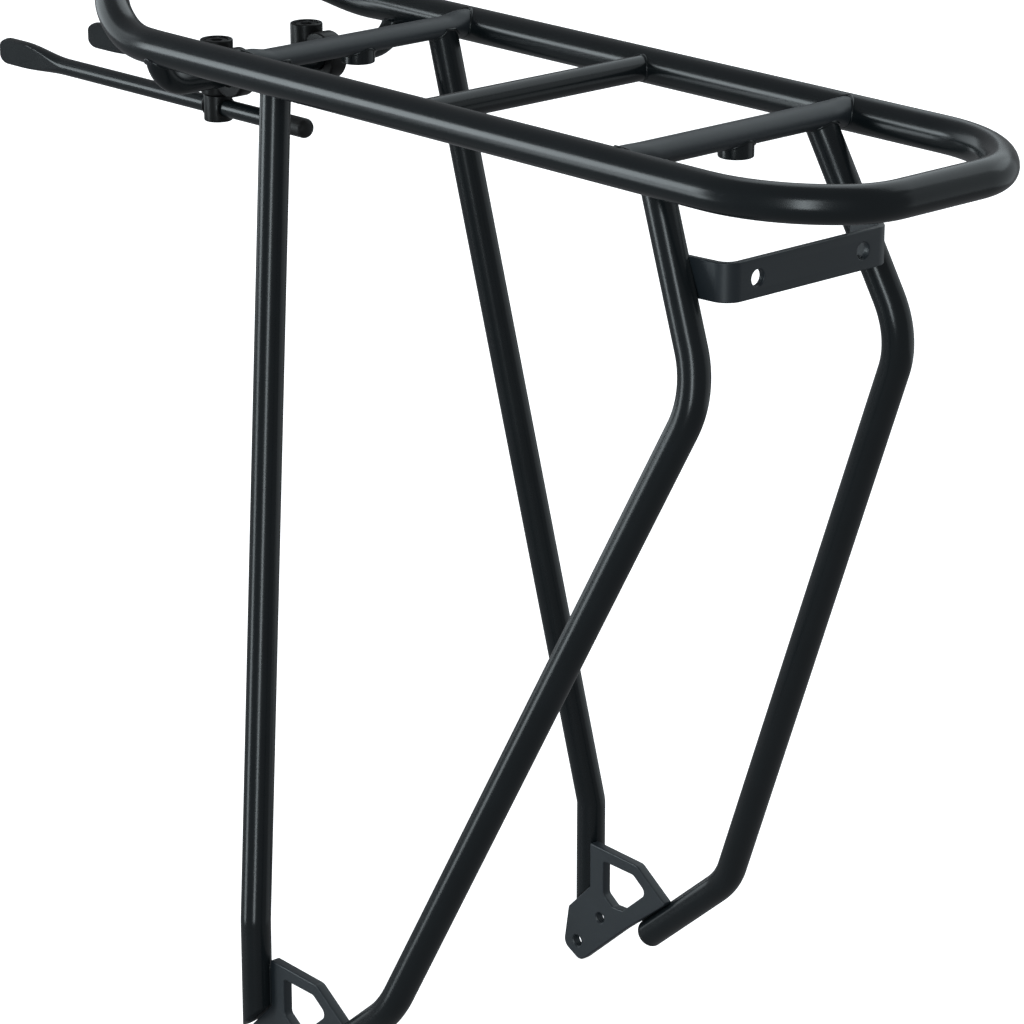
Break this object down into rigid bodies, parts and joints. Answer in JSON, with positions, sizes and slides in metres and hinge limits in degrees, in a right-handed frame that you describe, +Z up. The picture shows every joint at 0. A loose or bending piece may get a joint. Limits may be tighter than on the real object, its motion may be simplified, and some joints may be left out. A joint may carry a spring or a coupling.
{
  "type": "bicycle rear carrier",
  "caption": "Tubular bicycle rear pannier rack: closed top hoop with crossbars, four splayed legs on foot plates, a lamp bracket and two adjustable front stays.",
  "frame": {"origin": "bottom centre of the part's bounding box", "axes": "+Y along the hoop towards the front of the bicycle, +Z up, +X to the bicycle's right"},
  "size_m": [0.1824, 0.4855, 0.4013],
  "materials": {
    "powder_coat": "satin black powder coat",
    "plate_coat": "matt black powder coat on flat plate",
    "clamp_coat": "matt black anodised",
    "screw_steel": "blackened steel",
    "black_plastic": "matt black moulded"
  },
  "bodies": {
    "rack": {"top_hoop": "powder_coat", "front_crossbar": "powder_coat", "middle_crossbar": "powder_coat", "rear_crossbar": "powder_coat", "front_boss": "powder_coat", "rear_boss": "powder_coat", "front_leg_left": "powder_coat", "front_leg_right": "powder_coat", "rear_leg_left": "powder_coat", "rear_leg_right": "powder_coat", "leg_plug_left": "black_plastic", "leg_plug_right": "black_plastic", "foot_plate_left": "plate_coat", "foot_plate_right": "plate_coat", "light_bracket": "powder_coat", "stay_tube": "powder_coat"},
    "left_clamp": {"clamp_body_left": "clamp_coat", "clamp_screw_left": "screw_steel"},
    "left_eye": {"stay_eye_left": "clamp_coat"},
    "left_stay": {"stay_left": "powder_coat", "stay_cap_left": "black_plastic"},
    "right_clamp": {"clamp_body_right": "clamp_coat", "clamp_screw_right": "screw_steel"},
    "right_eye": {"stay_eye_right": "clamp_coat"},
    "right_stay": {"stay_right": "powder_coat", "stay_cap_right": "black_plastic"}
  },
  "joints": [
    {"name": "left_clamp_tilt", "type": "hinge", "parent": "rack", "child": "left_clamp", "pos_m": [-0.02175, 0.09555, 0.36474], "axis": [1, 0, 0], "range_deg": [-12, 20]},
    {"name": "left_eye_swivel", "type": "hinge", "parent": "left_clamp", "child": "left_eye", "pos_m": [-0.02175, 0.10592, 0.35015], "axis": [0, 0.009, 1], "range_deg": [-5, 20]},
    {"name": "left_stay_slide", "type": "slide", "parent": "left_eye", "child": "left_stay", "axis": [0, 1, -0.009], "range_m": [-0.08, 0.032]},
    {"name": "right_clamp_tilt", "type": "hinge", "parent": "rack", "child": "right_clamp", "pos_m": [0.02175, 0.09555, 0.36474], "axis": [1, 0, 0], "range_deg": [-12, 20]},
    {"name": "right_eye_swivel", "type": "hinge", "parent": "right_clamp", "child": "right_eye", "pos_m": [0.02175, 0.10592, 0.35015], "axis": [0, -0.009, -1], "range_deg": [-5, 20]},
    {"name": "right_stay_slide", "type": "slide", "parent": "right_eye", "child": "right_stay", "axis": [0, 1, -0.009], "range_m": [-0.08, 0.032]}
  ]
}
